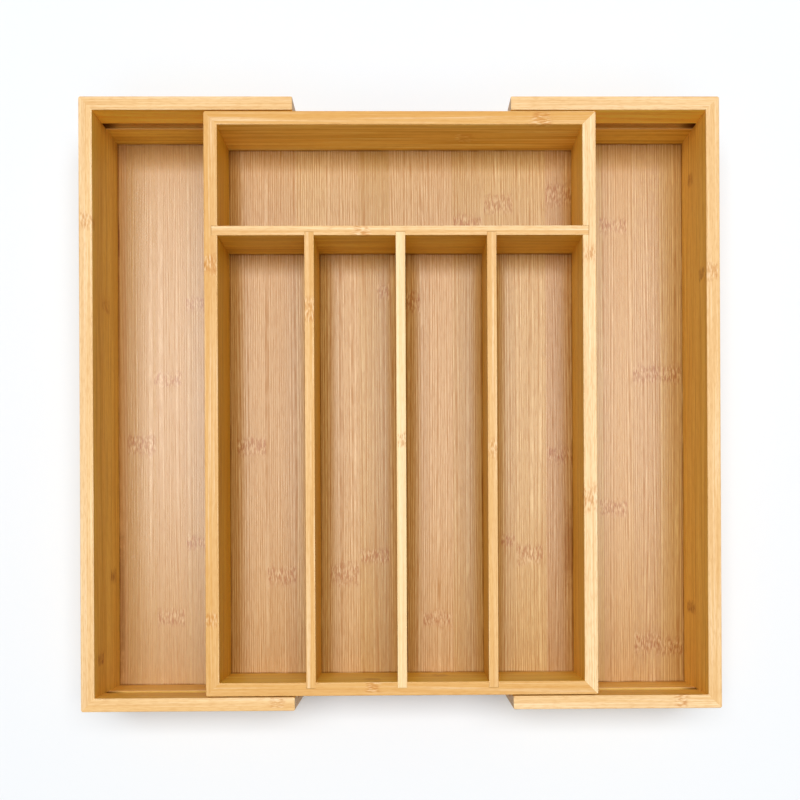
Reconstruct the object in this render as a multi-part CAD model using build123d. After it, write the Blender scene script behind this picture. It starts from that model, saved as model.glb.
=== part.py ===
# Bamboo cutlery tray that widens to fill a drawer.
# A centre tray with five compartments is flanked by two wings: three-sided frames with floors of
# their own, which slide in and out along X, around and under the centre tray. The grooves in the
# wings' arms run on two rails that are glued into the centre tray's front and back walls.
# Millimetres. +X is to the user's right, +Y to the back of the drawer, +Z up. The origin is the
# middle of the footprint, on the surface that the wings stand on, with both wings drawn out.

import os

from build123d import *

# Overall sizes
tray_depth = 452.0            # front to back, over the arms of a wing
tray_height = 63.0
center_width = 289.0          # over the side walls of the centre tray
wing_opening = 81.5           # from a wing's end wall to the centre tray, drawn out
back_row_depth = 74.5         # clear depth of the wide compartment at the back

# Bamboo stock
wall_thickness = 10.0
divider_thickness = 7.0
floor_thickness = 4.0

# Eased edges
wall_ease = 0.7               # top and bottom edges of the walls
divider_ease = 0.4            # long top edges of the dividers
corner_ease = 1.6             # upright corners of the frames
arm_end_ease = 1.0            # upright edges at the free end of an arm

# Floor panels, let into grooves round the inside of the walls
wing_lip = 5.0                # from the underside of a wing up to its floor panel
center_lip = 8.0              # from the underside of the centre tray up to its floor panel
floor_groove_depth = 4.0
floor_edge_gap = 0.5          # room for a panel to swell in its groove

# Dividers, let into slots in what they meet
wall_slot_depth = 4.5
divider_slot_depth = 2.6
slot_end_gap = 0.2            # glue room at the end of a divider

# Slide of the wings on the centre tray
slide_gap = 0.8               # between an arm and the centre tray's wall
lift_gap = 0.5                # between the wings' floor panels and the centre tray above them
closed_gap = 1.25             # between an end wall and the centre tray, pushed in
arm_meeting_gap = 0.5         # between the two wings' arms, pushed in
arm_meeting_offset = 1.3      # how far to the right of the middle they meet
rail_height = 8.0
rail_drop = 20.5              # from the top of the tray down to a rail
rail_reach = 4.0              # how far a rail stands out of its wall
rail_seat_depth = 3.0         # how far it is let into the wall
rail_end_setback = 6.0        # from the side of the centre tray to the end of a rail
rail_ease = 0.7               # edges of a rail's outer face
rail_play = 0.3               # above and below a rail, in the groove
rail_tip_gap = 1.2            # from a rail's outer face to the bottom of the groove

# Every cut that passes through a face runs this far past it
overrun = 5.0

# Levels, worked out from the sizes above
wing_floor_top = wing_lip + floor_thickness
center_bottom = wing_floor_top + lift_gap
center_floor_bottom = center_bottom + center_lip
center_floor_top = center_floor_bottom + floor_thickness
rail_top = tray_height - rail_drop
rail_bottom = rail_top - rail_height

# Places in plan, worked out from the sizes above
wing_end_x = center_width / 2 + wing_opening + wall_thickness
even_arm_length = wall_thickness + closed_gap + center_width / 2 - arm_meeting_gap / 2
left_arm_length = even_arm_length + arm_meeting_offset
right_arm_length = even_arm_length - arm_meeting_offset
wing_inner_depth = tray_depth - 2 * wall_thickness
center_depth = wing_inner_depth - 2 * slide_gap
center_inner_width = center_width - 2 * wall_thickness
center_inner_depth = center_depth - 2 * wall_thickness
cross_divider_back = center_inner_depth / 2 - back_row_depth
cross_divider_front = cross_divider_back - divider_thickness
rail_face_y = center_depth / 2 + rail_reach

# Every cut through the walls from top to bottom
full_height = (-overrun, tray_height + overrun)


def board(x_span, y_span, z_span):
    """A square-edged board, given by its two ends along each axis."""
    spans = (x_span, y_span, z_span)
    length, depth, height = (high - low for low, high in spans)
    middle = [(low + high) / 2 for low, high in spans]
    return Pos(*middle) * Box(length, depth, height)


def centered(size, grown_by=0, about=0):
    """The two ends of a size that lies evenly about a place, each moved out by grown_by."""
    return (about - size / 2 - grown_by, about + size / 2 + grown_by)


def ease_rims(frame):
    """Rounds every edge round the top and the underside of a frame."""
    faces = frame.faces().sort_by(Axis.Z)
    return fillet(faces[0].edges() + faces[-1].edges(), wall_ease)


def mitred_left_wall(end_x, depth):
    """The space of a frame's left wall, cut at 45 degrees where it meets the front and back."""
    outer_x, inner_x = -end_x - overrun, -end_x + wall_thickness + overrun
    outer_y, inner_y = depth / 2 + overrun, depth / 2 - wall_thickness - overrun
    corners = [(outer_x, -outer_y), (inner_x, -inner_y), (inner_x, inner_y), (outer_x, outer_y)]
    plan = make_face(Polyline(*corners, close=True))
    return extrude(plan, tray_height + overrun)


def front_and_back(walls):
    """The foremost and the rearmost of several walls."""
    in_order = walls.solids().sort_by(Axis.Y)
    return in_order[0], in_order[-1]


def divider(x_span, y_span, run):
    """A divider from the floor panel up to the top of the tray, eased along its run."""
    blank = board(x_span, y_span, (center_floor_top, tray_height))
    top_edges = blank.faces().sort_by(Axis.Z)[-1].edges()
    return fillet(top_edges.filter_by(run), divider_ease)


def center_frame():
    """The centre tray's four walls as one ring, grooved for the floor panel."""
    walls = (center_bottom, tray_height)
    ring = board(centered(center_width), centered(center_depth), walls)
    ring -= board(centered(center_inner_width), centered(center_inner_depth), full_height)
    uprights = ring.edges().filter_by(Axis.Z).group_by(Axis.X)
    ring = ease_rims(fillet(uprights[0] + uprights[-1], corner_ease))
    return ring - board(
        centered(center_inner_width, floor_groove_depth),
        centered(center_inner_depth, floor_groove_depth),
        (center_floor_bottom, center_floor_top),
    )


def center_tray():
    """The middle of the tray: walls, floor panel, dividers and the two slide rails."""
    parts = {}
    frame = center_frame()

    # The cross divider is let into both side walls
    cross_y = (cross_divider_front, cross_divider_back)
    frame -= board(centered(center_inner_width, wall_slot_depth), cross_y, full_height)
    cross_x = centered(center_inner_width, wall_slot_depth - slot_end_gap)
    cross = divider(cross_x, cross_y, Axis.X)

    # Three long dividers, evenly spaced, are let into the front wall and the cross divider
    names = ["long_divider_left", "long_divider_middle", "long_divider_right"]
    column_pitch = center_inner_width / (len(names) + 1)
    slot_y = (-center_inner_depth / 2 - wall_slot_depth, cross_divider_front + divider_slot_depth)
    long_y = (slot_y[0] + slot_end_gap, slot_y[1] - slot_end_gap)
    for number, name in enumerate(names, start=1):
        x = number * column_pitch - center_inner_width / 2
        slot = board(centered(divider_thickness, about=x), slot_y, full_height)
        frame -= slot
        cross -= slot
        parts[name] = divider(centered(divider_thickness, about=x), long_y, Axis.Y)
    parts["cross_divider"] = cross

    parts["center_floor"] = board(
        centered(center_inner_width, floor_groove_depth - floor_edge_gap),
        centered(center_inner_depth, floor_groove_depth - floor_edge_gap),
        (center_floor_bottom, center_floor_top),
    )

    # The rails sit in grooves of the front and back walls and stand out into the wings' arms
    rail = board(
        centered(center_width, -rail_end_setback),
        (center_depth / 2 - rail_seat_depth, rail_face_y),
        (rail_bottom, rail_top),
    )
    frame -= rail + mirror(rail, about=Plane.XZ)
    outer_face = rail.faces().sort_by(Axis.Y)[-1]
    parts["back_slide_rail"] = fillet(outer_face.edges(), rail_ease)
    parts["front_slide_rail"] = mirror(parts["back_slide_rail"], about=Plane.XZ)

    # The ring parts at its mitres into the four walls
    left_space = mitred_left_wall(center_width / 2, center_depth)
    right_space = mirror(left_space, about=Plane.YZ)
    parts["center_left_wall"] = frame & left_space
    parts["center_right_wall"] = frame & right_space
    front, back = front_and_back(frame - left_space - right_space)
    parts["center_front_wall"] = front
    parts["center_back_wall"] = back
    return parts


def wing(arm_length):
    """A wing on the left: an end wall, two arms that run back past the centre tray, and a floor panel."""
    outer_x, inner_x = -wing_end_x, -wing_end_x + wall_thickness
    arm_end_x = outer_x + arm_length
    frame = board((outer_x, arm_end_x), centered(tray_depth), (0, tray_height))
    frame -= board((inner_x, arm_end_x + overrun), centered(wing_inner_depth), full_height)
    uprights = frame.edges().filter_by(Axis.Z).group_by(Axis.X)
    frame = fillet(uprights[0], corner_ease)
    uprights = frame.edges().filter_by(Axis.Z).group_by(Axis.X)
    frame = ease_rims(fillet(uprights[-1], arm_end_ease))
    frame -= board(
        (inner_x - floor_groove_depth, arm_end_x + overrun),
        centered(wing_inner_depth, floor_groove_depth),
        (wing_lip, wing_floor_top),
    )
    panel = board(
        (inner_x - floor_groove_depth + floor_edge_gap, arm_end_x),
        centered(wing_inner_depth, floor_groove_depth - floor_edge_gap),
        (wing_lip, wing_floor_top),
    )

    # The slide grooves run the whole length of the arms, mitre and all, and not into the end wall
    end_space = mitred_left_wall(wing_end_x, tray_depth)
    arms = frame - end_space
    arms -= board(
        (outer_x - overrun, arm_end_x + overrun),
        centered(2 * rail_face_y, rail_tip_gap),
        (rail_bottom - rail_play, rail_top + rail_play),
    )
    front_arm, back_arm = front_and_back(arms)
    return {
        "end_wall": frame & end_space,
        "front_arm": front_arm,
        "back_arm": back_arm,
        "wing_floor": panel,
    }


parts = center_tray()
for name, shape in wing(left_arm_length).items():
    parts["left_" + name] = shape
for name, shape in wing(right_arm_length).items():
    parts["right_" + name] = mirror(shape, about=Plane.YZ)

os.makedirs("parts", exist_ok=True)
for name, shape in parts.items():
    export_step(shape, f"parts/{name}.step")
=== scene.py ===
from math import pi, radians

import bmesh
import bpy
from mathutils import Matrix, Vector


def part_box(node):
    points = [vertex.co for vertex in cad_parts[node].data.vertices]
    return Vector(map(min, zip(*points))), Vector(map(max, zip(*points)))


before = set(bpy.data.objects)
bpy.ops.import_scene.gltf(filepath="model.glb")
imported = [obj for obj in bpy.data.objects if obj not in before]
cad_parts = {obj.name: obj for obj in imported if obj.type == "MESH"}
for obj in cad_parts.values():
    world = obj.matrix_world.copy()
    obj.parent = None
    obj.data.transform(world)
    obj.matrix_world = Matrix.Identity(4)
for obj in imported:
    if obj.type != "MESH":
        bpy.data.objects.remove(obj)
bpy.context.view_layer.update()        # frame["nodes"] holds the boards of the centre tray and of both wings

print("boards loaded:", len(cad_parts))


# Shader nodes: a value may be a number, a vector, a colour or another node's output

mixInputs, mixResult = (0, 6, 7), 2      # sockets of the Mix node for the amount and two colours


def color(code):
    # a colour as it is picked on screen, such as "F0C98F", in the linear values that shaders take
    parts = [int(code[i:i + 2], 16) / 255 for i in (0, 2, 4)]
    return [p / 12.92 if p <= 0.04045 else ((p + 0.055) / 1.055) ** 2.4 for p in parts]


def feed(tree, socket, value):
    if isinstance(value, bpy.types.NodeSocket):
        tree.links.new(value, socket)
    elif socket.type == "RGBA":      # a colour comes as a code or as three values
        socket.default_value = (*(color(value) if isinstance(value, str) else value), 1.0)
    else:
        socket.default_value = value


def addNode(tree, kind, values=None, **settings):
    node = tree.nodes.new("ShaderNode" + kind)
    for name, setting in settings.items():
        setattr(node, name, setting)
    for name, value in (values or {}).items():
        feed(tree, node.inputs[name], value)
    return node


def calc(tree, operation, *terms, kind="Math"):
    node = addNode(tree, kind, operation=operation)
    for socket, term in zip(node.inputs, terms):
        feed(tree, socket, term)
    return node.outputs[0]


def calcVector(tree, operation, *terms):
    return calc(tree, operation, *terms, kind="VectorMath")


def product(tree, first, *others):
    for other in others:
        first = calc(tree, "MULTIPLY", first, other)
    return first


def split(tree, vector):
    return addNode(tree, "SeparateXYZ", {"Vector": vector}).outputs


def fade(tree, value, start, end, low=0.0, high=1.0):
    # goes smoothly from low, where the value is at start, to high, where it is at end
    values = {"Value": value, "From Min": start, "From Max": end, "To Min": low, "To Max": high}
    return addNode(tree, "MapRange", values, interpolation_type="SMOOTHSTEP").outputs[0]


def blendColor(tree, amount, under, over, how="MIX"):
    node = addNode(tree, "Mix", data_type="RGBA", blend_type=how)
    for index, value in zip(mixInputs, (amount, under, over)):
        feed(tree, node.inputs[index], value)
    return node.outputs[mixResult]


def multiplyColor(tree, amount, under, stainAndShade):
    return blendColor(tree, amount, under, stainAndShade, "MULTIPLY")


def paint(tree, under, coats):
    # each coat is a mask, its strength and its colour
    for mask, strength, over in coats:
        under = blendColor(tree, product(tree, mask, strength), under, over)
    return under


def newGroup(name, inputs, outputs):
    group = bpy.data.node_groups.new(name, "ShaderNodeTree")
    for label, value in inputs.items():
        kind = "NodeSocketFloat" if isinstance(value, float) else "NodeSocketVector"
        group.interface.new_socket(name=label, in_out="INPUT", socket_type=kind).default_value = value
    for label in outputs:
        group.interface.new_socket(name=label, in_out="OUTPUT", socket_type="NodeSocketFloat")
    return group, group.nodes.new("NodeGroupInput").outputs, group.nodes.new("NodeGroupOutput").inputs


def useGroup(tree, group, **values):
    node = tree.nodes.new("ShaderNodeGroup")
    node.node_tree = group
    for name, value in values.items():
        feed(tree, node.inputs[name.capitalize()], value)
    return node.outputs


# Effects that every board shares. Position is in metres on the board: X along its grain, Z up

origin = (0.0, 0.0, 0.0)
fibreDetail = 2.0
# In shares of a fine fibre's length and pitch: how it bends, and how far it stays strong
lineBend = {"length": 6.0, "width": 2.5, "shift": 0.0, "amount": 4.0}
lineStrength = {"length": 0.30, "width": 1.1, "shift": 0.5, "range": (0.32, 0.66), "least": 0.2}
stripWave = 0.8          # how quickly the widths of the strips vary
# In shares of a mark's reach: how ragged it is, and where its sides and ends fade
markShape = {"noise": 220.0, "detail": 2.0, "sway": 1.5, "sides": (1.0, 0.88), "ends": (1.3, 0.35)}
dotRim = (0.5, 0.2)      # in shares of the dots' pitch


def stretchedNoise(tree, position, length, width, seed, detail=0.0):
    # noise in patches of about this length along the grain and this width across it
    along = calc(tree, "DIVIDE", 1.0, length)
    across = calc(tree, "DIVIDE", 1.0, width)
    stretch = addNode(tree, "CombineXYZ", {"X": along, "Y": across, "Z": across}).outputs[0]
    place = calcVector(tree, "MULTIPLY", position, stretch)
    values = {"Vector": place, "W": seed, "Scale": 1.0, "Detail": detail}
    return addNode(tree, "TexNoise", values, noise_dimensions="4D").outputs[0]


def makeFibres():
    # streaks along the grain, each about as wide and as long as it is told
    inputs = {"Position": origin, "Width": 0.001, "Length": 0.03, "Seed": 0.0}
    group, given, result = newGroup("bambooFibres", inputs, ["Streak"])
    sizes = [given[key] for key in ("Length", "Width", "Seed")]
    feed(group, result["Streak"], stretchedNoise(group, given["Position"], *sizes, fibreDetail))
    return group


def makeLines():
    # fine fibres side by side, which bend a little and fade in and out along the grain
    inputs = {"Position": origin, "Pitch": 0.002, "Length": 0.1, "Seed": 0.0}
    group, given, result = newGroup("fibreLines", inputs, ["Lines"])

    def noise(kind):
        length = product(group, given["Length"], kind["length"])
        width = product(group, given["Pitch"], kind["width"])
        key = calc(group, "ADD", given["Seed"], kind["shift"])
        return stretchedNoise(group, given["Position"], length, width, key)

    spot = split(group, given["Position"])
    across = calc(group, "DIVIDE", calc(group, "ADD", spot["Y"], spot["Z"]), given["Pitch"])
    phase = calc(group, "ADD", across, product(group, noise(lineBend), lineBend["amount"]))
    wave = calc(group, "SINE", product(group, phase, 2 * pi))
    strength = fade(group, noise(lineStrength), *lineStrength["range"], lineStrength["least"], 1.0)
    halfWave = product(group, wave, product(group, strength, 0.5))
    feed(group, result["Lines"], calc(group, "ADD", 0.5, halfWave))        # between 0 and 1
    return group


def makeStrips():
    # strips glued side by side and in layers, each with its own tone, and the glue lines between them
    inputs = {"Across": 0.0, "Depth": 0.0, "Width": 0.02, "Layer": 0.005, "Wander": 0.3, "Seed": 0.0,
              "Shift": 0.0, "Stagger": 1.0, "Glue": 0.0002}
    group, given, result = newGroup("gluedStrips", inputs, ["Tone", "Tint", "Joint"])
    depth = calc(group, "DIVIDE", given["Depth"], given["Layer"])
    layer = calc(group, "FLOOR", depth)
    layerKey = addNode(group, "CombineXYZ", {"X": layer, "Y": given["Seed"]}).outputs[0]
    stagger = addNode(group, "TexWhiteNoise", {"Vector": layerKey}, noise_dimensions="3D").outputs[0]
    shift = calc(group, "ADD", given["Shift"], product(group, stagger, given["Stagger"]))
    lane = calc(group, "ADD", calc(group, "DIVIDE", given["Across"], given["Width"]), shift)
    values = {"W": lane, "Scale": stripWave, "Detail": 0.0}
    wave = addNode(group, "TexNoise", values, noise_dimensions="1D").outputs[0]
    sway = product(group, calc(group, "SUBTRACT", wave, 0.5), given["Wander"], 2.0)        # to either side
    lane = calc(group, "ADD", lane, sway)
    values = {"X": calc(group, "FLOOR", lane), "Y": layer, "Z": given["Seed"]}
    stripKey = addNode(group, "CombineXYZ", values).outputs[0]
    chance = addNode(group, "TexWhiteNoise", {"Vector": stripKey}, noise_dimensions="3D").outputs
    feed(group, result["Tone"], chance["Value"])
    feed(group, result["Tint"], split(group, chance["Color"])["Y"])
    gaps = []
    for place, size in ((lane, given["Width"]), (depth, given["Layer"])):
        share = calc(group, "FRACT", place)
        nearest = calc(group, "MINIMUM", share, calc(group, "SUBTRACT", 1.0, share))
        gaps.append(product(group, nearest, size))
    feed(group, result["Joint"], fade(group, calc(group, "MINIMUM", *gaps), given["Glue"], 0.0))
    return group


def makeMark():
    # a knuckle or knot of the cane, or a darker patch, with sharp sides, where its strip ends, and ragged
    # ends
    inputs = {"Position": origin, "Center": origin, "Reach": (0.006, 0.006, 0.006)}
    group, given, result = newGroup("caneMark", inputs, ["Patch"])
    away = calcVector(group, "SUBTRACT", given["Position"], given["Center"])
    share = split(group, calcVector(group, "DIVIDE", away, given["Reach"]))
    values = {"Vector": given["Position"], "Scale": markShape["noise"], "Detail": markShape["detail"]}
    noise = addNode(group, "TexNoise", values).outputs[0]
    sway = product(group, calc(group, "SUBTRACT", noise, 0.5), markShape["sway"])
    along = calc(group, "ABSOLUTE", calc(group, "ADD", share["X"], sway))
    across = calc(group, "MAXIMUM", calc(group, "ABSOLUTE", share["Y"]), calc(group, "ABSOLUTE", share["Z"]))
    patch = product(group, fade(group, across, *markShape["sides"]), fade(group, along, *markShape["ends"]))
    feed(group, result["Patch"], patch)
    return group


def makeEndGrain():
    # the cut ends of the fibre bundles, as small dark dots
    group, given, result = newGroup("endGrainDots", {"Position": origin, "Pitch": 0.0011}, ["Dots"])
    flat = calcVector(group, "MULTIPLY", given["Position"], (0.0, 1.0, 1.0))
    values = {"Vector": flat, "Scale": calc(group, "DIVIDE", 1.0, given["Pitch"])}
    cells = addNode(group, "TexVoronoi", values, voronoi_dimensions="3D")
    feed(group, result["Dots"], fade(group, cells.outputs["Distance"], *dotRim))
    return group


def makeCompartment():
    # how far a place in a compartment is from the nearest of its sides, from the left and from the right
    inputs = {"Position": origin, "Low": origin, "High": origin}
    group, given, result = newGroup("compartmentSides", inputs, ["Nearest", "Left", "Right"])
    fromLow = split(group, calcVector(group, "SUBTRACT", given["Position"], given["Low"]))
    fromHigh = split(group, calcVector(group, "SUBTRACT", given["High"], given["Position"]))
    aside = calc(group, "MINIMUM", fromLow["X"], fromHigh["X"])
    nearest = calc(group, "MINIMUM", aside, calc(group, "MINIMUM", fromLow["Y"], fromHigh["Y"]))
    inside = calc(group, "GREATER_THAN", nearest, 0.0)
    feed(group, result["Nearest"], nearest)
    feed(group, result["Left"], product(group, fromLow["X"], inside))
    feed(group, result["Right"], product(group, fromHigh["X"], inside))
    return group


fibres, lines, strips = makeFibres(), makeLines(), makeStrips()
caneMark, endGrain, compartment = makeMark(), makeEndGrain(), makeCompartment()
print("node groups ready:", len(bpy.data.node_groups))


# Looks of the bamboo stock. Sizes are a width and a length, or a pitch and a length for the fine fibres.
# The colours of faces, stains and painted shades are factors, which multiply the stock's own; the face
# factors carry painted shade too

# The face factor is the face grain's deeper colour together with painted shade; the walls' outer faces are
# lighter, without it. The rim colour is a painted highlight, the outer rim colour painted shade
wallLook = {
    "pale": "FDE2B4", "deep": "D6A050", "tint": "EBBF76", "streak": "C4832F", "paleStreak": "FFEBC8",
    "knuckle": "BC7426", "knot": "9A5A1E", "glue": "B97F38", "rimShading": "FFE9BE", "outerRimShade": "C08A48",
    "face": (1.02, 0.92, 0.29), "outerFace": (0.97, 0.90, 0.62),
    "strip": 0.021, "layer": 0.005, "wander": 0.2, "toneSpread": 0.35, "tintAmount": 0.3,
    "broadSize": (0.0015, 0.10), "broadAmount": 0.30, "paleAmount": 0.34,
    "lineSize": (0.0017, 0.06), "lineAmount": 0.24, "dashSize": (0.0009, 0.007), "dashAmount": 0.25,
    "knuckleAmount": 0.56, "glueAmount": 0.15, "rimShadingAmount": 0.08,
    "roughness": 0.42, "relief": 0.15, "shine": 0.25,
}
dividerLook = {**wallLook, "strip": 0.024, "layer": 0.0035, "face": (0.96, 0.87, 0.21)}
paleLook = {**dividerLook, "pale": "F9E2B2", "deep": "F2D29A", "tint": "F4D8A4", "streak": "DFB06E"}
floorLook = {
    "pale": "DCBC7F", "deep": "C29E60", "tint": "CAA274", "streak": "A06814", "paleStreak": "EACC9E",
    "knuckle": "9A570F", "glue": "96602C",
    "strip": 0.0245, "layer": 0.02, "wander": 0.0, "toneSpread": 1.5, "tintAmount": 0.9,
    "broadSize": (0.0024, 0.14), "broadAmount": 0.12, "paleAmount": 0.13,
    "lineSize": (0.0018, 0.055), "lineAmount": 0.84, "dashSize": (0.0008, 0.009), "dashAmount": 0.34,
    "knuckleAmount": 0.66, "glueAmount": 0.25,
    "roughness": 0.3, "relief": 0.2, "shine": 0.38,
    # The shades are painted shade on the floor beside the walls and dividers, on the left and on the right
    # of each space; dull makes it rougher there
    "shades": {"Left": {"width": 0.0138, "full": 0.0036, "stainAndShade": (0.77, 0.67, 0.40), "dull": 0.5},
               "Right": {"width": 0.0100, "full": 0.0010, "stainAndShade": (1.0, 0.93, 0.62), "dull": 0.3}},
}
leftFloorLook = {
    **floorLook, "pale": "CCAA6B", "deep": "BC9759", "tint": "BE9362", "strip": 0.0235, "toneSpread": 0.5,
    "broadAmount": 0.10, "paleAmount": 0.08, "lineAmount": 0.62, "dashAmount": 0.26, "shine": 0.68,
    "shades": {"Left": {"width": 0.0100, "full": 0.0, "stainAndShade": (0.96, 0.86, 0.50), "dull": 0.4}},
}
rightFloorLook = {
    **floorLook, "pale": "D9BB7A", "deep": "C9A766", "tint": "CDA570", "strip": 0.0230, "dashAmount": 0.28,
    "shine": 0.48,
    "shades": {"Right": {"width": 0.0200, "full": 0.0, "stainAndShade": (1.0, 0.94, 0.72), "dull": 0.1}},
}

# What is added to a board's seed for each pattern, so that no two of them lie alike
seedShift = {"broad": 0.3, "lines": 0.6, "dash": 0.9, "patches": 1.3, "smoke": 1.7, "strokes": 2.1}

# The noise at which a mark starts to show, and at which it is full
darkStreak, paleStreak, dashMark = (0.45, 0.75), (0.50, 0.30), (0.45, 0.65)
tickMark, gleamMark = (0.47, 0.61), (0.47, 0.37)
patchMark, smokeMark = (0.35, 0.60), (0.42, 0.72)

# How far a face's normal leans to an axis where an effect starts, and where it is full
rimShadingFromTop, rimShadingFromSide = (0.995, 0.93), (0.2, 0.6)
uprightLean, ledgeLean, cutEndLean = (0.6, 0.2), (0.3, 0.8), (0.75, 0.95)
outwardLean = 0.03

# What all boards share, with sizes as above
knuckleStroke = {"size": (0.0009, 0.0048), "ground": 0.10, "gleam": 0.34, "knot": 0.16}
faceSmoke = {"size": (0.0022, 0.09), "stainAndShade": (0.82, 0.74, 0.52)}
patchSize = (0.012, 0.03)
# painted shade in the crease where the floors meet the walls and dividers, in patches
floorCreaseShade = {"width": 0.0014, "least": 0.35, "stainAndShade": (0.52, 0.38, 0.16), "dull": 0.5}      # on the floors
# painted shade low on the walls and dividers, just above the floor, in patches
wallCreaseShade = {"height": 0.0032, "least": 0.3, "stainAndShade": (0.66, 0.56, 0.42)}      # on the walls and dividers
cutEnd = {"color": "C9A878", "dots": "8F6A42", "pitch": 0.0011}
glueWidth = 0.0002
fibreHeight = 0.0002
fibreRoughness = (-0.04, 0.08)      # how much smoother and rougher the fine fibres are than the board


def bareBamboo(tree, look, tone, layout, broad, fine, dash):
    # each strip has its tone, then come long soft streaks, fine fibres and short dark dashes
    spread = product(tree, calc(tree, "SUBTRACT", layout["Tone"], 0.5), look["toneSpread"])
    shown = blendColor(tree, calc(tree, "ADD", spread, tone), look["deep"], look["pale"])
    return paint(tree, shown, [
        (layout["Tint"], look["tintAmount"], look["tint"]),
        (fade(tree, broad, *darkStreak), look["broadAmount"], look["streak"]),
        (fade(tree, broad, *paleStreak), look["paleAmount"], look["paleStreak"]),
        (fine, look["lineAmount"], look["streak"]),
        (fade(tree, dash, *dashMark), look["dashAmount"], look["streak"]),
    ])


def shadeFloor(tree, look, shown, place, patches, compartments):
    # painted shade beside the walls and dividers and in the crease at their foot, and how much duller the
    # floor is there
    distance = {"Nearest": -1.0, "Left": 0.0, "Right": 0.0}
    for low, high in compartments:
        here = useGroup(tree, compartment, position=place, low=low, high=high)
        distance = {side: calc(tree, "MAXIMUM", value, here[side]) for side, value in distance.items()}
    # painted shade in the crease at the foot of the walls and dividers, and beside them on the left and
    # right
    creaseShade = fade(tree, distance["Nearest"], floorCreaseShade["width"], 0.0)
    marks = [(fade(tree, distance[side], shade["width"], shade["full"]), shade)
             for side, shade in look["shades"].items()]
    marks.append((product(tree, creaseShade, fade(tree, patches, *patchMark, floorCreaseShade["least"], 1.0)), floorCreaseShade))
    dull = 0.0
    for amount, mark in marks:
        shown = multiplyColor(tree, amount, shown, mark["stainAndShade"])
        dull = calc(tree, "ADD", dull, product(tree, amount, mark["dull"]))
    return shown, dull


# The slide grooves in the arms: painted shade darkens their sides and ledge, their ends are darker still
# with dust and painted shade, their lower lip has a painted highlight, and painted light makes the back arms
# lighter above them
groove = {
    "start": 0.0002, "depth": 0.0055, "margin": 0.0006, "side": (1.02, 0.70, 0.06),
    "ledge": (0.92, 0.90, 0.40), "dustAndShadeReach": 0.013, "dustAndShade": (0.42, 0.26, 0.10),
    "lipDrop": 0.0012, "lipWidth": 0.0012, "lipHighlightAmount": 0.7, "lipHighlight": "F0C078",
    "paintedLightFrom": 0.0003, "paintedLightAbove": (1.32, 1.35, 1.4),
}


def shadeGroove(tree, shown, spot, normal, upright, isBack):
    low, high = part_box("back_slide_rail")
    height = spot["Z"]
    depth = calc(tree, "SUBTRACT", calc(tree, "ABSOLUTE", spot["Y"]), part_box("left_back_arm")[0].y)
    bottom, top = low.z - groove["margin"], high.z + groove["margin"]
    routed = product(tree, *[calc(tree, comparison, value, limit) for value, comparison, limit in (
        (depth, "GREATER_THAN", groove["start"]), (depth, "LESS_THAN", groove["depth"]),
        (height, "GREATER_THAN", bottom), (height, "LESS_THAN", top))])
    # painted light on the back arms' upright faces above the groove
    if isBack:
        above = calc(tree, "GREATER_THAN", height, high.z + groove["paintedLightFrom"])
        shown = multiplyColor(tree, product(tree, upright, above), shown, groove["paintedLightAbove"])
    # painted shade inside the groove, on its sides and ledge, and darker towards its ends with dust and
    # painted shade
    grooveShadeAndDust = blendColor(tree, fade(tree, normal["Z"], *ledgeLean), groove["side"], groove["ledge"])
    fromEnd = calc(tree, "SUBTRACT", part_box("right_end_wall")[0].x, calc(tree, "ABSOLUTE", spot["X"]))
    grooveShadeAndDust = multiplyColor(tree, fade(tree, fromEnd, groove["dustAndShadeReach"], 0.0), grooveShadeAndDust, groove["dustAndShade"])
    shown = multiplyColor(tree, routed, shown, grooveShadeAndDust)
    # painted highlight along the groove's lower lip
    down = calc(tree, "ABSOLUTE", calc(tree, "SUBTRACT", height, low.z - groove["lipDrop"]))
    fromLip = calc(tree, "MAXIMUM", down, calc(tree, "ABSOLUTE", depth))
    lipHighlight = fade(tree, fromLip, groove["lipWidth"], 0.0, 0.0, groove["lipHighlightAmount"])
    return blendColor(tree, lipHighlight, shown, groove["lipHighlight"])


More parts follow.
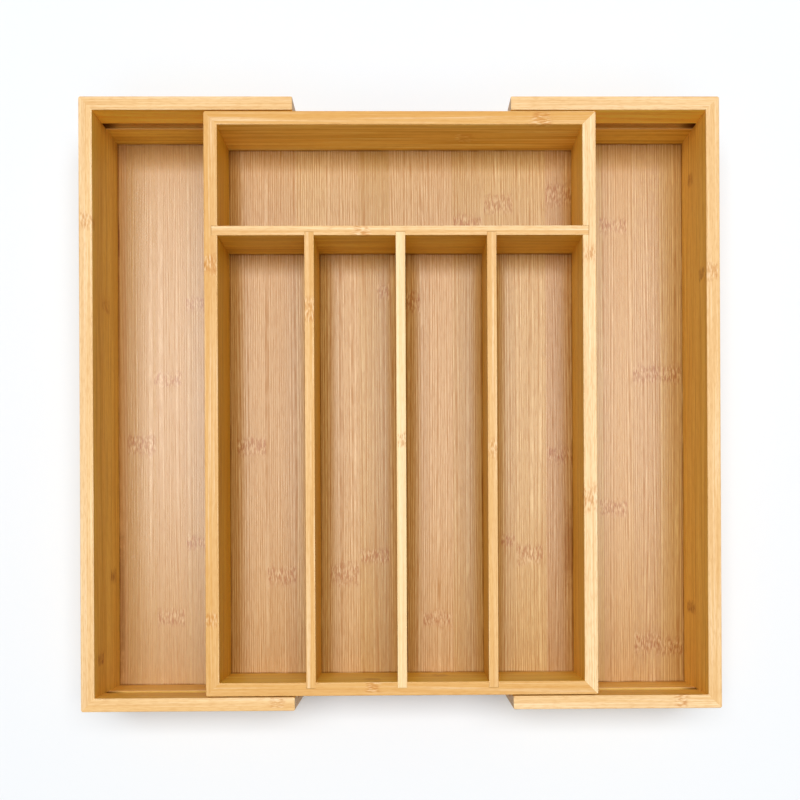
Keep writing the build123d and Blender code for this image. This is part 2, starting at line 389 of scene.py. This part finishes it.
def dressBoard(name, look, grain, seed, tone, face=None, seam=None, compartments=(), knuckles=(), knots=(),
               darkPatches=()):
    isPanel = seam is not None
    low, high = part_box(name)
    middle = (low + high) / 2
    material = bpy.data.materials.new(name + "_bamboo")
    material.use_nodes = True
    tree = material.node_tree
    shader = tree.nodes["Principled BSDF"]

    # The board's own space: its middle is the origin, and X runs along the grain
    place = addNode(tree, "TexCoord").outputs["Object"]
    spot = split(tree, place)
    turn = (0.0, 0.0, radians(90 if grain == "Y" else 0))
    values = {"Vector": place, "Location": middle, "Rotation": turn}
    position = addNode(tree, "Mapping", values, vector_type="TEXTURE").outputs[0]

    def streaks(pattern, width, length):
        return useGroup(tree, fibres, position=position, width=width, length=length,
                        seed=seed + seedShift[pattern])["Streak"]

    def markAt(x, y, along, across, z=high.z):
        fromMiddle = (y - middle.y, middle.x - x) if grain == "Y" else (x - middle.x, y - middle.y)
        return useGroup(tree, caneMark, position=position, center=(*fromMiddle, z - middle.z),
                        reach=(along / 2, across / 2, across / 2))["Patch"]

    # Strips lie side by side in a panel, and on edge in a wall or a divider
    onBoard = split(tree, position)
    across, depth = (onBoard["Y"], onBoard["Z"]) if isPanel else (onBoard["Z"], onBoard["Y"])
    shift, stagger = ((seam - middle.x) / look["strip"], 0.0) if isPanel else (0.0, 1.0)
    layout = useGroup(tree, strips, across=across, depth=depth, width=look["strip"], layer=look["layer"],
                      wander=look["wander"], seed=seed, shift=shift, stagger=stagger, glue=glueWidth)
    pitch, length = look["lineSize"]
    fine = useGroup(tree, lines, position=position, pitch=pitch, length=length,
                    seed=seed + seedShift["lines"])["Lines"]
    broad, dash = streaks("broad", *look["broadSize"]), streaks("dash", *look["dashSize"])
    shown = bareBamboo(tree, look, tone, layout, broad, fine, dash)

    # Knuckles and knots of the cane, and darker patches, where the photograph shows them
    strokes = streaks("strokes", *knuckleStroke["size"])
    ticks = fade(tree, strokes, *tickMark, 0.0, look["knuckleAmount"])
    ticks = calc(tree, "ADD", knuckleStroke["ground"], ticks)
    gleams = fade(tree, strokes, *gleamMark, 0.0, knuckleStroke["gleam"])
    for mark in knuckles:
        patch = markAt(*mark)
        shown = paint(tree, shown, [(patch, ticks, look["knuckle"]), (patch, gleams, look["paleStreak"])])
    for mark in knots:
        darker = calc(tree, "ADD", ticks, knuckleStroke["knot"])
        shown = paint(tree, shown, [(markAt(*mark), darker, look["knot"])])
    for mark, stainAndShade in darkPatches:
        shown = multiplyColor(tree, markAt(*mark), shown, stainAndShade)
    shown = paint(tree, shown, [(layout["Joint"], look["glueAmount"], look["glue"])])

    # Upright faces take a deeper honey colour, partly the face grain's own and partly painted shade, deepest
    # on the inner faces of the walls; eased edges get a painted highlight, and painted shade on the outer
    # side of the walls
    patches = streaks("patches", *patchSize)
    normal = split(tree, addNode(tree, "NewGeometry").outputs["Normal"])
    upward = calc(tree, "ABSOLUTE", normal["Z"])
    upright = inner = fade(tree, upward, *uprightLean)
    dull = 0.0
    if isPanel:
        shown, dull = shadeFloor(tree, look, shown, place, patches, compartments)
    else:
        faceColor, rimShadingColor = face or look["face"], look["rimShading"]
        if look is wallLook:
            axis, side = ("X", middle.x) if grain == "Y" else ("Y", middle.y)
            facing = product(tree, normal[axis], 1.0 if side > 0 else -1.0)
            outward = calc(tree, "GREATER_THAN", facing, outwardLean)
            inner = product(tree, upright, calc(tree, "SUBTRACT", 1.0, outward))
            faceColor = blendColor(tree, outward, faceColor, look["outerFace"])
            rimShadingColor = blendColor(tree, outward, rimShadingColor, look["outerRimShade"])
        # painted highlight on the eased edges, painted shade on the outer edges of the walls
        rimShading = product(tree, fade(tree, upward, *rimShadingFromTop), fade(tree, upward, *rimShadingFromSide))
        shown = paint(tree, shown, [(rimShading, look["rimShadingAmount"], rimShadingColor)])
        # the face grain's deeper colour with painted shade on the upright faces
        shown = multiplyColor(tree, upright, shown, faceColor)
    smoke = fade(tree, streaks("smoke", *faceSmoke["size"]), *smokeMark)
    shown = multiplyColor(tree, product(tree, smoke, upright), shown, faceSmoke["stainAndShade"])
    if not isPanel:
        floor = "left_wing_floor" if name.startswith(("left_", "right_")) else "center_floor"
        aboveFoot = calc(tree, "SUBTRACT", spot["Z"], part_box(floor)[1].z)
        # painted shade low on the inner faces, just above the floor
        footShade = product(tree, fade(tree, aboveFoot, wallCreaseShade["height"], 0.0),
                       fade(tree, patches, *patchMark, wallCreaseShade["least"], 1.0), inner)
        shown = multiplyColor(tree, footShade, shown, wallCreaseShade["stainAndShade"])
    if name.endswith("_arm"):
        shown = shadeGroove(tree, shown, spot, normal, upright, "back" in name)
    dots = useGroup(tree, endGrain, position=position, pitch=cutEnd["pitch"])["Dots"]
    endColor = blendColor(tree, dots, cutEnd["color"], cutEnd["dots"])
    shown = blendColor(tree, fade(tree, calc(tree, "ABSOLUTE", normal[grain]), *cutEndLean), shown, endColor)

    feed(tree, shader.inputs["Base Color"], shown)
    rough = fade(tree, fine, 0.0, 1.0, *[look["roughness"] + change for change in fibreRoughness])
    feed(tree, shader.inputs["Roughness"], calc(tree, "ADD", rough, dull))
    shader.inputs["Specular IOR Level"].default_value = look["shine"]
    values = {"Strength": look["relief"], "Distance": fibreHeight, "Height": fine}
    feed(tree, shader.inputs["Normal"], addNode(tree, "Bump", values, invert=True).outputs[0])
    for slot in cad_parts[name].material_slots:
        slot.material = material


def clearFloor(left, right, front, back):
    # two corners of the floor between four boards
    lowX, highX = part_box(left)[1].x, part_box(right)[0].x
    lowY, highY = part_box(front)[1].y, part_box(back)[0].y
    return (lowX, lowY, 0.0), (highX, highY, 0.0)


longBoards = ["center_left_wall", "long_divider_left", "long_divider_middle", "long_divider_right",
              "center_right_wall"]
centerSpaces = [clearFloor(*pair, "center_front_wall", "cross_divider")
                for pair in zip(longBoards, longBoards[1:])]
centerSpaces.append(clearFloor("center_left_wall", "center_right_wall", "cross_divider", "center_back_wall"))
wingSpaces = [clearFloor("left_end_wall", "right_end_wall", "left_front_arm", "left_back_arm")]

# Each knuckle, knot or darker patch has the x and y of its middle, its size along and across the grain, and
# a height where it isn't on top of its board. A seam is the x of one glue line between a floor's strips
# A board's face factor paints light or shade onto its upright faces, to even out how each is lit, on top of
# the face grain's deeper colour
boards = {
    "left_end_wall": dict(
        look=wallLook, grain="Y", seed=1, tone=0.77,
        knuckles=[(-0.2301, 0.135, 0.013, 0.010), (-0.226, 0.0795, 0.012, 0.018, 0.036)],
        knots=[(-0.226, -0.1282, 0.011, 0.012, 0.0225), (-0.226, -0.1897, 0.009, 0.012, 0.0496)]),
    "left_front_arm": dict(
        look=wallLook, grain="X", seed=2, tone=0.50, face=(1.15, 1.05, 0.40),
        knuckles=[(-0.0916, -0.2193, 0.011, 0.009)]),
    "left_back_arm": dict(look=wallLook, grain="X", seed=3, tone=0.60, face=(1.15, 1.08, 0.30)),
    "left_wing_floor": dict(
        look=leftFloorLook, grain="Y", seed=4, tone=0.75, seam=-0.196, compartments=wingSpaces,
        knuckles=[(-0.2079, -0.0237, 0.018, 0.0235), (-0.1870, 0.0278, 0.012, 0.0230),
                  (-0.1848, -0.1628, 0.014, 0.0230), (-0.1613, -0.1029, 0.012, 0.0230),
                  (-0.1646, 0.0882, 0.012, 0.016)],
        # both darker patches lie along the foot of the end wall
        darkPatches=[((-0.2270, 0.1367, 0.030, 0.005), (0.70, 0.55, 0.30)),
                ((-0.2243, -0.150, 0.110, 0.0052), (0.74, 0.66, 0.44))]),
    "right_end_wall": dict(
        look=wallLook, grain="Y", seed=5, tone=0.58, face=(1.26, 1.21, 0.48),
        knuckles=[(0.2299, 0.096, 0.013, 0.010)],
        knots=[(0.226, 0.1788, 0.010, 0.012, 0.0285), (0.226, 0.0979, 0.010, 0.012, 0.0526),
               (0.226, -0.1548, 0.010, 0.020, 0.0262)]),
    "right_front_arm": dict(
        look=wallLook, grain="X", seed=6, tone=0.68, face=(1.12, 1.02, 0.38),
        knuckles=[(0.2065, -0.2205, 0.012, 0.010)]),
    "right_back_arm": dict(look=wallLook, grain="X", seed=7, tone=0.54, face=(1.14, 1.13, 0.37)),
    "right_wing_floor": dict(
        look=rightFloorLook, grain="Y", seed=8, tone=0.7, seam=0.1853, compartments=wingSpaces,
        knuckles=[(0.1705, 0.1505, 0.013, 0.0235), (0.1700, -0.0766, 0.013, 0.0235),
                  (0.1968, 0.0312, 0.016, 0.0230), (0.2165, 0.0312, 0.016, 0.0180),
                  (0.1968, -0.1847, 0.018, 0.0230), (0.2165, -0.1881, 0.016, 0.0180)],
        darkPatches=[((0.1968, 0.0, 0.60, 0.0230), (0.93, 0.89, 0.94))]),
    "center_left_wall": dict(
        look=wallLook, grain="Y", seed=9, tone=0.27, face=(0.97, 0.89, 0.17),
        knuckles=[(-0.1399, 0.1026, 0.016, 0.010), (-0.1404, -0.1588, 0.012, 0.010)]),
    "center_right_wall": dict(
        look=wallLook, grain="Y", seed=10, tone=0.72, face=(1.10, 0.99, 0.30),
        knuckles=[(0.139, 0.1099, 0.013, 0.010), (0.139, -0.0700, 0.020, 0.012)]),
    "center_front_wall": dict(
        look=wallLook, grain="X", seed=11, tone=0.0, face=(1.25, 1.42, 0.62),
        knuckles=[(-0.0217, -0.208, 0.012, 0.010)],
        knots=[(-0.0228, -0.2052, 0.012, 0.010, 0.0518), (0.0289, -0.2052, 0.012, 0.010, 0.036)]),
    "center_back_wall": dict(
        look=wallLook, grain="X", seed=12, tone=0.0, face=(1.37, 1.60, 1.0),
        knuckles=[(0.1048, 0.2098, 0.016, 0.010), (0.0487, 0.2052, 0.014, 0.014, 0.041)]),
    "center_floor": dict(
        look=floorLook, grain="Y", seed=13, tone=0.5, seam=-0.0578, compartments=centerSpaces,
        knuckles=[(-0.0457, -0.1276, 0.018, 0.0240), (-0.0212, -0.1132, 0.013, 0.0240),
                  (-0.0945, -0.1285, 0.017, 0.0240), (-0.1177, -0.0274, 0.014, 0.0240),
                  (0.0278, -0.1627, 0.013, 0.0240), (0.1005, -0.1123, 0.017, 0.022),
                  (0.0833, -0.1012, 0.012, 0.012), (0.0768, 0.1625, 0.015, 0.0240),
                  (0.1245, 0.1702, 0.018, 0.0220), (0.0525, 0.1480, 0.013, 0.0240),
                  (0.1260, -0.0345, 0.014, 0.0240), (0.0095, 0.0858, 0.018, 0.0120),
                  (-0.0140, 0.0950, 0.014, 0.0100)],
        # the first darker patch lies at the foot of the right wall, the second darkens one strip
        darkPatches=[((0.1322, -0.1077, 0.060, 0.009), (0.80, 0.68, 0.46)),
                ((0.1260, -0.040, 0.50, 0.0245), (0.93, 0.89, 0.87))]),
    "cross_divider": dict(
        look=dividerLook, grain="X", seed=14, tone=0.50, face=(1.10, 1.04, 0.29),
        knuckles=[(-0.0282, 0.1267, 0.015, 0.008)]),
    "long_divider_left": dict(
        look=dividerLook, grain="Y", seed=15, tone=0.29, knuckles=[(-0.0674, 0.0687, 0.020, 0.008)]),
    "long_divider_middle": dict(
        look=paleLook, grain="Y", seed=16, tone=0.5, knuckles=[(0.0005, -0.0273, 0.012, 0.007)]),
    "long_divider_right": dict(
        look=dividerLook, grain="Y", seed=17, tone=0.35, knuckles=[(0.0679, -0.0347, 0.015, 0.008)]),
    "front_slide_rail": dict(look=dividerLook, grain="X", seed=18, tone=0.4, face=(0.95, 0.88, 0.62)),
    "back_slide_rail": dict(look=dividerLook, grain="X", seed=19, tone=0.4, face=(0.95, 0.88, 0.62)),
}
for name, choice in boards.items():
    dressBoard(name, **choice)
print("bamboo on", len(boards), "boards")


# Studio: a pale floor that fades into a white background, one large softbox above and a weak fill

studio = {
    "floorHalf": 5.0, "floorDrop": 0.0003, "floorAlbedo": 0.8, "paperShown": (0.822, 0.845, 0.868),
    "fadeFrom": 0.45, "fadeTo": 1.0, "fill": 0.22,
}
lamps = {
    "softbox": {"center": (0.20, 0.95, 5.0), "tilt": 10.0, "width": 5.5, "depth": 2.7, "power": 285.0},
    "frontCard": {"center": (0.0, -3.6, 4.2), "tilt": -40.6, "width": 5.0, "depth": 2.0, "power": 32.0},
}
white = (1.0, 1.0, 1.0)


def seenDirectly(tree, path):
    # camera rays, and what mirrors or glass would show
    seen = calc(tree, "MAXIMUM", path["Is Camera Ray"], path["Is Glossy Ray"])
    return calc(tree, "MAXIMUM", seen, path["Is Transmission Ray"])


def makeFloor():
    sheet = bmesh.new()
    bmesh.ops.create_grid(sheet, x_segments=1, y_segments=1, size=studio["floorHalf"])
    bmesh.ops.translate(sheet, verts=sheet.verts, vec=(0, 0, -studio["floorDrop"]))
    mesh = bpy.data.meshes.new("studio_floor")
    sheet.to_mesh(mesh)
    sheet.free()
    floor = bpy.data.objects.new("studio_floor", mesh)
    bpy.context.scene.collection.objects.link(floor)
    material = bpy.data.materials.new("studio_white")
    material.use_nodes = True
    tree = material.node_tree
    tree.nodes.remove(tree.nodes["Principled BSDF"])
    path = addNode(tree, "LightPath").outputs
    paper = blendColor(tree, path["Is Camera Ray"], [studio["floorAlbedo"]] * 3, studio["paperShown"])
    matte = addNode(tree, "BsdfDiffuse", {"Color": paper}).outputs[0]
    glow = addNode(tree, "Emission", {"Color": white, "Strength": 1.0}).outputs[0]
    place = addNode(tree, "TexCoord").outputs["Object"]
    distance = addNode(tree, "VectorMath", {0: place}, operation="LENGTH").outputs["Value"]
    far = product(tree, seenDirectly(tree, path), fade(tree, distance, studio["fadeFrom"], studio["fadeTo"]))
    mixed = addNode(tree, "MixShader", {0: far, 1: matte, 2: glow}).outputs[0]
    feed(tree, tree.nodes["Material Output"].inputs["Surface"], mixed)
    mesh.materials.append(material)


def makeWorld():
    world = bpy.data.worlds.new("studio_world")
    world.use_nodes = True
    tree = world.node_tree
    seen = seenDirectly(tree, addNode(tree, "LightPath").outputs)
    feed(tree, tree.nodes["Background"].inputs["Color"], white)
    feed(tree, tree.nodes["Background"].inputs["Strength"], calc(tree, "MAXIMUM", seen, studio["fill"]))
    bpy.context.scene.world = world


def makeLamp(name, center, tilt, width, depth, power):
    lamp = bpy.data.lights.new(name, "AREA")
    lamp.shape = "RECTANGLE"
    lamp.size = width
    lamp.size_y = depth
    lamp.energy = power
    holder = bpy.data.objects.new(name, lamp)
    holder.location = center
    holder.rotation_euler = (-radians(tilt), 0, 0)
    holder.visible_camera = False
    bpy.context.scene.collection.objects.link(holder)


makeFloor()
makeWorld()
for name, choice in lamps.items():
    makeLamp(name, **choice)
print("studio ready")


# Camera, fitted to the photograph: it looks straight down, and the frame is shifted to hold the tray

photo = {
    "pixels": 800, "focalPixels": 818.4, "middleX": 414.7, "middleY": 531.4, "sensor": 36.0,
    "place": (0.00399, -0.09462, 0.66525), "turn": (0.018, -0.525, -0.273), "clipStart": 0.01,
}


def makeCamera():
    lens = bpy.data.cameras.new("photo_camera")
    lens.sensor_width = photo["sensor"]
    lens.lens = photo["sensor"] * photo["focalPixels"] / photo["pixels"]
    lens.shift_x = 0.5 - photo["middleX"] / photo["pixels"]
    lens.shift_y = photo["middleY"] / photo["pixels"] - 0.5
    lens.clip_start = photo["clipStart"]
    camera = bpy.data.objects.new("photo_camera", lens)
    camera.location = photo["place"]
    camera.rotation_euler = [radians(angle) for angle in photo["turn"]]
    bpy.context.scene.collection.objects.link(camera)
    bpy.context.scene.camera = camera


makeCamera()
bpy.context.scene.view_settings.view_transform = "Standard"
print("camera ready")
